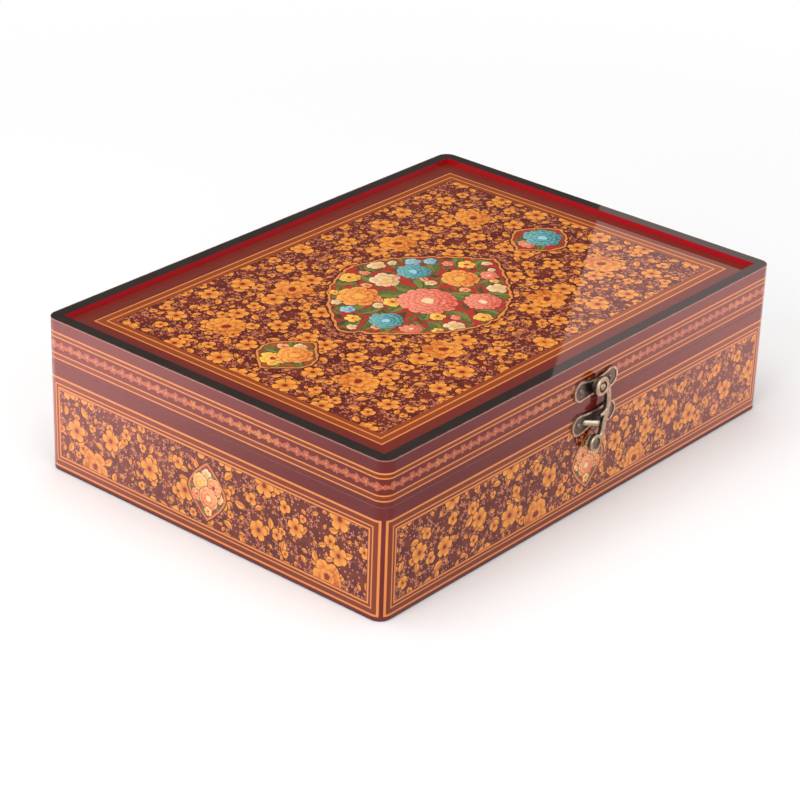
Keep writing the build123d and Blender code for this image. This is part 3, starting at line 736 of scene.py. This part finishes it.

# %% [markdown]
# ## Antique bronze
# The latch is cast metal with a chemical patina: dark brown in the hollows, and rubbed bright on
# raised edges. Real wear follows height, and here height is the distance out from the box's
# face, which is minus y on the front and plus y on the back. The group mixes patina and bare
# metal by that height, by how far the surface leans away from straight out, and by a fine noise.
# The low parts near the hook are painted nearly black: a painted shade, for the shade that the hook
# and the plates cast on each other there.

# %% The patina group
patina, pen, given, result = new_group(
    "antique_patina",
    [("Place", "vector"), ("Height", "number"), ("Lean", "number"), ("Metal", "colour")],
    [("Colour", "colour"), ("Roughness", "number"), ("Relief", "number")])
blotch = pen.noise(given["Place"], 0.9, 4.0)
fine = pen.noise(given["Place"], 5.0, 3.0)
bare = pen.math("ADD", pen.math("MULTIPLY", given["Height"], 0.55),
                pen.math("MULTIPLY", given["Lean"], 0.5))
bare = pen.math("ADD", bare, pen.math("MULTIPLY", pen.math("SUBTRACT", blotch, 0.5), 0.9))
bare = pen.math("ADD", bare, pen.math("MULTIPLY", pen.math("SUBTRACT", fine, 0.5), 0.35))
bare = pen.math("MINIMUM", pen.math("MAXIMUM", bare, 0.0), 1.0)
brown = pen.paint(rgb(0.045, 0.038, 0.034), rgb(0.20, 0.175, 0.145), blotch)
pen.plug(result["Colour"], pen.paint(brown, given["Metal"], pen.fade(bare, 0.15, 0.85)))
pen.plug(result["Roughness"], pen.math("SUBTRACT", 0.40, pen.math("MULTIPLY", bare, 0.14)))
pen.plug(result["Relief"], pen.math("ADD", blotch, pen.math("MULTIPLY", fine, 0.4)))


latch_middle = 1.2
brass, bronze, steel = rgb(0.56, 0.48, 0.35), rgb(0.52, 0.44, 0.31), rgb(0.40, 0.39, 0.37)
dull_brass = rgb(0.24, 0.20, 0.15)


def antique(name, face, outwards, floor_height, full_height, metal=brass, hook_shade=0.0):
    """Antique metal on one face of the box. face is the y of that face and outwards is 1 or -1.
    The last argument is how dark the low parts are painted close to the latch's upright middle
    line: a painted shade where the hook and the plates shade each other."""
    material, pen, shader, place = new_material(name)
    y = pen.part(place, 1)
    proud = pen.math("MULTIPLY", pen.math("SUBTRACT", y, face), outwards)
    height = pen.fade(proud, floor_height, full_height)
    facing = pen.part(pen.node("ShaderNodeNewGeometry").outputs["Normal"], 1)
    lean = pen.fade(pen.math("ABSOLUTE", facing), 0.98, 0.6)
    worn = pen.use(patina, Place=place, Height=height, Lean=lean, Metal=metal)
    # painted shade: the low parts close to the hook are darkened towards black, for the shade of
    # the hook and the plates
    aside = pen.math("ABSOLUTE", pen.math("SUBTRACT", pen.part(place, 0), latch_middle))
    hook_shade_mask = pen.math("MULTIPLY", pen.math("MULTIPLY", pen.fade(aside, 10.0, 4.5), hook_shade),
                    pen.math("SUBTRACT", 1.0, height))
    uneven(pen, shader, worn["Relief"], 0.5, 0.00008)
    pen.plug(shader.inputs["Base Color"], pen.paint(worn["Colour"], rgb(0.012, 0.009, 0.008), hook_shade_mask))
    pen.plug(shader.inputs["Roughness"], worn["Roughness"])
    shader.inputs["Metallic"].default_value = 0.9
    return material


front_face, back_face = (-93.0, -1.0), (93.0, 1.0)
latch_metal = antique("antique_latch", *front_face, 0.65, 1.0, brass, 0.95)
nail_metal = antique("antique_nail", *front_face, 1.0, 3.2, dull_brass)
horn_metal = antique("antique_horn", *front_face, 0.6, 2.6)
hook_metal = antique("antique_hook", *front_face, 3.4, 4.5, bronze, 0.6)
rivet_metal = antique("antique_rivet", *front_face, 4.0, 5.2)
hinge_metal = antique("antique_hinge", *back_face, 0.5, 2.8)
hinge_nail_metal = antique("antique_hinge_nail", *back_face, 1.0, 2.2, bronze)
pin_metal = antique("drawn_wire", *back_face, 0.4, 3.0, steel)
metal_of = {
    "upper_latch_plate": latch_metal, "lower_latch_plate": latch_metal,
    "upper_latch_nails": nail_metal, "lower_latch_nails": nail_metal,
    "catch_horn": horn_metal, "swing_hook": hook_metal, "hook_rivet": rivet_metal,
    "left_hinge_base_leaf": hinge_metal, "right_hinge_base_leaf": hinge_metal,
    "left_hinge_lid_leaf": hinge_metal, "right_hinge_lid_leaf": hinge_metal,
    "left_hinge_pin": pin_metal, "right_hinge_pin": pin_metal,
    "hinge_base_nails": hinge_nail_metal, "hinge_lid_nails": hinge_nail_metal}
for name, material in metal_of.items():
    dress(material, name)
print("antique metal on", len(metal_of), "nodes")

# %% [markdown]
# ## Floor
# The product stands on a seamless white sweep. The floor is one large sheet, and a world of plain
# white shows behind it. Light Path lets the camera see pure white far from the box, while the floor
# close to it keeps the shadow and the box gets ordinary light.

# %% Floor and world
def seen_ray(pen):
    """1 for what the camera sees, also in a mirror or through glass, 0 for the light on things."""
    ray = pen.node("ShaderNodeLightPath").outputs
    return pen.math("MAXIMUM", ray["Is Camera Ray"],
                    pen.math("MAXIMUM", ray["Is Glossy Ray"], ray["Is Transmission Ray"]))


reach, level = 6.0, -0.0002
floor_mesh = bpy.data.meshes.new("floor")
floor_mesh.from_pydata([(-reach, -reach, level), (reach, -reach, level), (reach, reach, level),
                        (-reach, reach, level)], [], [(0, 1, 2, 3)])
floor = bpy.data.objects.new("floor", floor_mesh)
bpy.context.scene.collection.objects.link(floor)
sweep, pen, shader, place = new_material("white_sweep")
seen = seen_ray(pen)
far = pen.fade(pen.vector("LENGTH", pen.vector("MULTIPLY", place, (1.0, 1.0, 0.0))), 200.0, 620.0)
white = pen.math("MULTIPLY", seen, far)
pale = pen.paint(rgb(0.88, 0.88, 0.88), rgb(0.86, 0.86, 0.86), pen.noise(place, 0.002, 2.0))
pen.plug(shader.inputs["Base Color"], pen.paint(pale, rgb(0, 0, 0), white))
pen.plug(shader.inputs["Emission Color"], pen.paint(rgb(0, 0, 0), rgb(1, 1, 1), white))
shader.inputs["Emission Strength"].default_value = 1.0
shader.inputs["Roughness"].default_value = 0.9
shader.inputs["Specular IOR Level"].default_value = 0.0
floor_mesh.materials.append(sweep)

world = bpy.data.worlds.new("studio")
bpy.context.scene.world = world
world.use_nodes = True
world.node_tree.nodes.clear()
pen = Pen(world.node_tree)
seen = seen_ray(pen)
strength = pen.math("ADD", 0.55, pen.math("MULTIPLY", seen, 0.45))
background = pen.node("ShaderNodeBackground")
pen.plug(background.inputs["Color"], rgb(1, 1, 1))
pen.plug(background.inputs["Strength"], strength)
pen.plug(pen.node("ShaderNodeOutputWorld").inputs["Surface"], background.outputs[0])

# %% [markdown]
# ## Lamps
# Three soft boxes light the product, from above, from the front and from the left. The gloss of
# the varnish needs something more: the photograph shows the sharp edge of a reflection across the
# right front corner of the top, and a front and a left side that brighten away from their shared
# corner. Photographers make such reflections with cards, so five cards do it here. A picture of a
# whole studio as the world could do it too, but it would also change the light.

# %% Soft boxes
def soft_box(name, place, target, width, height, power):
    """A rectangular area lamp at a place that faces a target. Lengths are in metres."""
    lamp = bpy.data.lights.new(name, "AREA")
    lamp.shape = "RECTANGLE"
    lamp.size = width
    lamp.size_y = height
    lamp.energy = power
    box = bpy.data.objects.new(name, lamp)
    bpy.context.scene.collection.objects.link(box)
    box.location = place
    away = Vector(target) - Vector(place)
    box.rotation_euler = away.to_track_quat("-Z", "Y").to_euler()


soft_box("overhead_box", (-0.2, 0.1, 1.6), (0, 0, 0.05), 1.6, 1.6, 16.0)
soft_box("front_box", (-0.5, -1.5, 0.9), (0, 0, 0.03), 1.2, 1.0, 6.0)
soft_box("left_box", (-1.5, -0.1, 0.8), (0, 0, 0.03), 1.0, 1.0, 10.0)

# %% Cards that the varnish mirrors: two upright at the back right, three flat on the floor
def mirror_card(name, corners, dark, bright, axis=0, start=0.0, end=1.0):
    """A card that only mirroring surfaces see, so that no view and no shadow shows it. Along the
    axis (0 is x, 1 is y) it goes from dark to bright between two places, in millimetres."""
    mesh = bpy.data.meshes.new(name)
    mesh.from_pydata(corners, [], [(0, 1, 2, 3)])
    card = bpy.data.objects.new(name, mesh)
    bpy.context.scene.collection.objects.link(card)
    card.visible_camera = False
    card.visible_diffuse = False
    card.visible_shadow = False
    paint, pen, shader, place = new_material(name)
    cloudy = pen.math("ADD", 0.94, pen.math("MULTIPLY", pen.noise(place, 0.002, 2.0), 0.12))
    light = pen.paint(rgb(*dark), rgb(*bright), pen.fade(pen.part(place, axis), start, end))
    pen.plug(shader.inputs["Emission Color"],
             pen.vector("MULTIPLY", light, pen.join(cloudy, cloudy, cloudy)))
    shader.inputs["Emission Strength"].default_value = 1.0
    shader.inputs["Base Color"].default_value = rgb(0, 0, 0)
    shader.inputs["Specular IOR Level"].default_value = 0.0
    mesh.materials.append(paint)


def flat_corners(x_from, x_to, y_from, y_to, level=0.0005):
    """The corners of a card that lies half a millimetre above the floor."""
    return [(x_from, y_from, level), (x_to, y_from, level), (x_to, y_to, level),
            (x_from, y_to, level)]


seam_low, seam_high = (1.331, 0.745, 0.2), (1.156, 0.955, 1.6)
grey, pale = (0.15, 0.14, 0.14), (0.90, 0.74, 0.72)
mirror_card("grey_card", [seam_low, seam_high, (0.384, 1.882, 1.6), (0.384, 1.882, 0.2)],
            grey, grey)
mirror_card("pale_card", [(1.84, 0.134, 0.2), (1.84, 0.134, 1.6), seam_high, seam_low], pale, pale)
mirror_card("front_floor_card", flat_corners(1.2, -0.3, -0.094, -0.9),
            (0.60, 0.55, 0.55), (2.5, 1.55, 1.45), 0, -50.0, 240.0)
plain, rosy = (0.85, 0.85, 0.85), (4.0, 2.4, 2.3)
mirror_card("left_floor_card", flat_corners(-0.13, -0.9, -0.3, 0.18), plain, rosy, 1, -20.0, 180.0)
mirror_card("far_left_floor_card", flat_corners(-0.13, -0.9, 0.18, 0.4),
            rosy, plain, 1, 180.0, 300.0)

# %% [markdown]
# ## Camera
# The photograph was taken with a long lens from the left front and above. Its angles were worked
# out from the box's own edges: 50.2 degrees to the left of the front, 26.8 degrees up, rolled by
# 2 degrees. A camera looks along its own minus z, so its three axes make the rotation directly.

# %% Camera at the photograph's angle
azimuth, elevation, roll = np.radians([-50.200, 26.818, 1.972])
back = np.array([np.sin(azimuth) * np.cos(elevation), -np.cos(azimuth) * np.cos(elevation),
                 np.sin(elevation)])
right = np.array([np.cos(azimuth), np.sin(azimuth), 0.0])
up = np.cross(back, right)
right, up = (np.cos(roll) * right + np.sin(roll) * up, np.cos(roll) * up - np.sin(roll) * right)
target = np.array([-0.03252, -0.01827, 0.03518])
distance = 1.1102
sensor, focal_length_in_pixels, picture_width = 36.0, 2653.8, 800.0
lens = bpy.data.cameras.new("camera")
lens.sensor_width = sensor
lens.lens = sensor * focal_length_in_pixels / picture_width
lens.clip_start = 0.01
camera = bpy.data.objects.new("camera", lens)
bpy.context.scene.collection.objects.link(camera)
pose = np.eye(4)
pose[:3, 0], pose[:3, 1], pose[:3, 2], pose[:3, 3] = right, up, back, target + back * distance
camera.matrix_world = Matrix(pose.tolist())
bpy.context.scene.camera = camera
print("camera at", np.round(pose[:3, 3], 3))

# %% Colour management
bpy.context.scene.view_settings.view_transform = "Standard"
